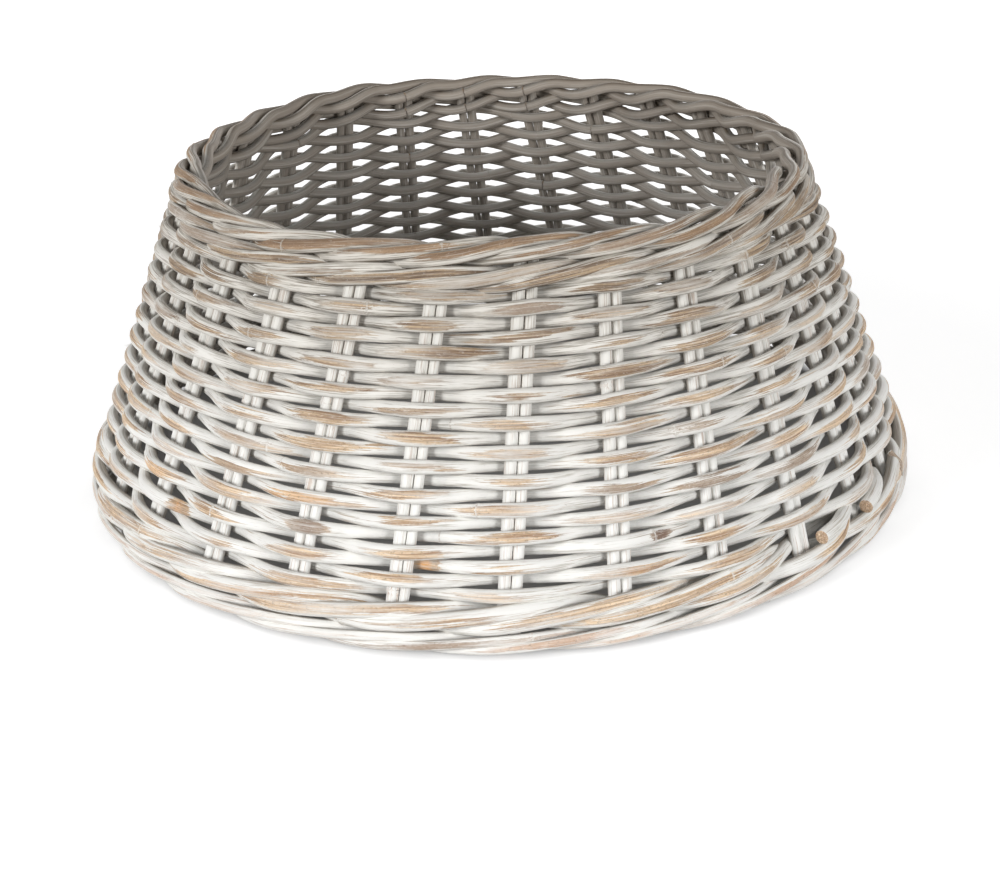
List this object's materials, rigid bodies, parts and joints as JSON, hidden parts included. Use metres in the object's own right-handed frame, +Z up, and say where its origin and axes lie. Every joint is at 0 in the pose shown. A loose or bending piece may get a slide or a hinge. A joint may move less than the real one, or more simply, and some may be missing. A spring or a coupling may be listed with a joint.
{
  "type": "christmas tree collar",
  "caption": "Tapered woven rattan collar that stands on the floor round the base and stand of a Christmas tree, in worn whitewashed cane.",
  "frame": {"origin": "centre of the collar's base circle, on the floor plane", "axes": "+Z up along the collar's axis from floor to rim, front towards -Y, +X to the viewer's right"},
  "size_m": [0.5928, 0.5946, 0.2339],
  "materials": {
    "stake_paint": "matt cream-white wash on straight rattan core",
    "weaver_paint": "matt whitewash rubbed through to tan cane on the proud bends",
    "wale_paint": "matt whitewash with long tan and brown worn streaks",
    "foot_paint": "matt whitewash with faint pinkish tan wear",
    "rim_paint": "thin greyish whitewash over brown cane"
  },
  "bodies": {
    "root": {"stake_pair_01": "stake_paint", "stake_pair_02": "stake_paint", "stake_pair_03": "stake_paint", "stake_pair_04": "stake_paint", "stake_pair_05": "stake_paint", "stake_pair_06": "stake_paint", "stake_pair_07": "stake_paint", "stake_pair_08": "stake_paint", "stake_pair_09": "stake_paint", "stake_pair_10": "stake_paint", "stake_pair_11": "stake_paint", "stake_pair_12": "stake_paint", "stake_pair_13": "stake_paint", "stake_pair_14": "stake_paint", "stake_pair_15": "stake_paint", "stake_pair_16": "stake_paint", "stake_pair_17": "stake_paint", "stake_pair_18": "stake_paint", "stake_pair_19": "stake_paint", "stake_pair_20": "stake_paint", "stake_pair_21": "stake_paint", "stake_pair_22": "stake_paint", "stake_pair_23": "stake_paint", "stake_pair_24": "stake_paint", "stake_pair_25": "stake_paint", "stake_pair_26": "stake_paint", "weaver_row_01": "weaver_paint", "weaver_row_02": "weaver_paint", "weaver_row_03": "weaver_paint", "weaver_row_04": "weaver_paint", "weaver_row_05": "weaver_paint", "weaver_row_06": "weaver_paint", "weaver_row_07": "weaver_paint", "weaver_row_08": "weaver_paint", "weaver_row_09": "weaver_paint", "weaver_row_10": "weaver_paint", "weaver_row_11": "weaver_paint", "weaver_row_12": "weaver_paint", "weaver_row_13": "weaver_paint", "weaver_row_14": "weaver_paint", "weaver_row_15": "weaver_paint", "weaver_row_16": "weaver_paint", "weaver_row_17": "weaver_paint", "weaver_row_18": "weaver_paint", "weaver_row_19": "weaver_paint", "weaver_row_20": "weaver_paint", "weaver_row_21": "weaver_paint", "weaver_row_22": "weaver_paint", "foot_wale_strand_1": "foot_paint", "foot_wale_strand_2": "foot_paint", "foot_wale_strand_3": "foot_paint", "bottom_wale_strand_1": "wale_paint", "bottom_wale_strand_2": "wale_paint", "bottom_wale_strand_3": "wale_paint", "top_wale_strand_1": "wale_paint", "top_wale_strand_2": "wale_paint", "top_wale_strand_3": "wale_paint", "rim_rope_strand_1": "rim_paint", "rim_rope_strand_2": "rim_paint", "rim_rope_strand_3": "rim_paint"}
  },
  "joints": []
}
